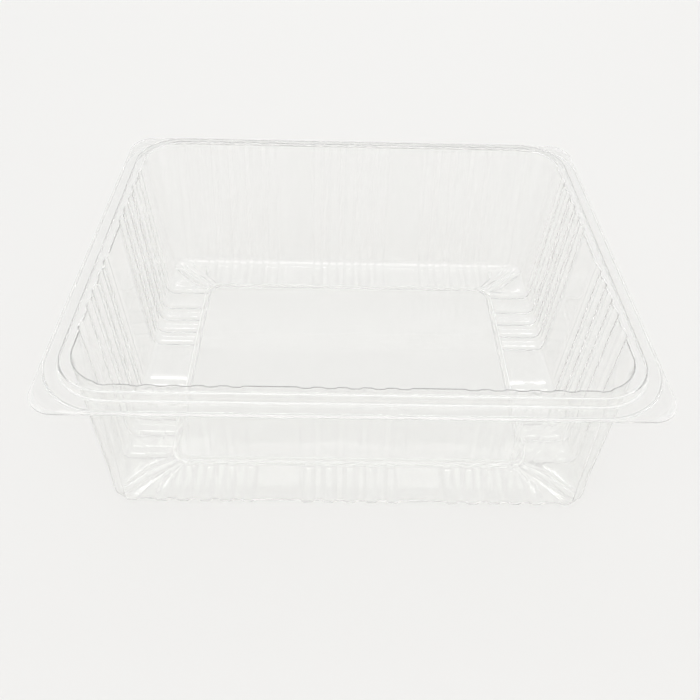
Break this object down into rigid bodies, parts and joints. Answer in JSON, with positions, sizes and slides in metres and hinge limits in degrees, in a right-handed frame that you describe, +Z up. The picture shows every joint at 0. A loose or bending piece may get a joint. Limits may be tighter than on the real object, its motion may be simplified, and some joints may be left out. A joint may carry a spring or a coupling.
{
  "type": "clear plastic food tray",
  "caption": "Open clear plastic food tray with sloping fluted walls, a flat sealing land, a stepped flange with corner ears and a raised base panel.",
  "frame": {"origin": "middle of the footprint, on the ground plane that the undersides of the base flutes rest on", "axes": "+X along the length, +Y along the width away from the pictured side, +Z up out of the mouth"},
  "size_m": [0.2498, 0.2108, 0.082],
  "materials": {
    "clear_plastic": "clear glossy thermoformed sheet"
  },
  "bodies": {
    "root": {"tray": "clear_plastic"}
  },
  "joints": []
}
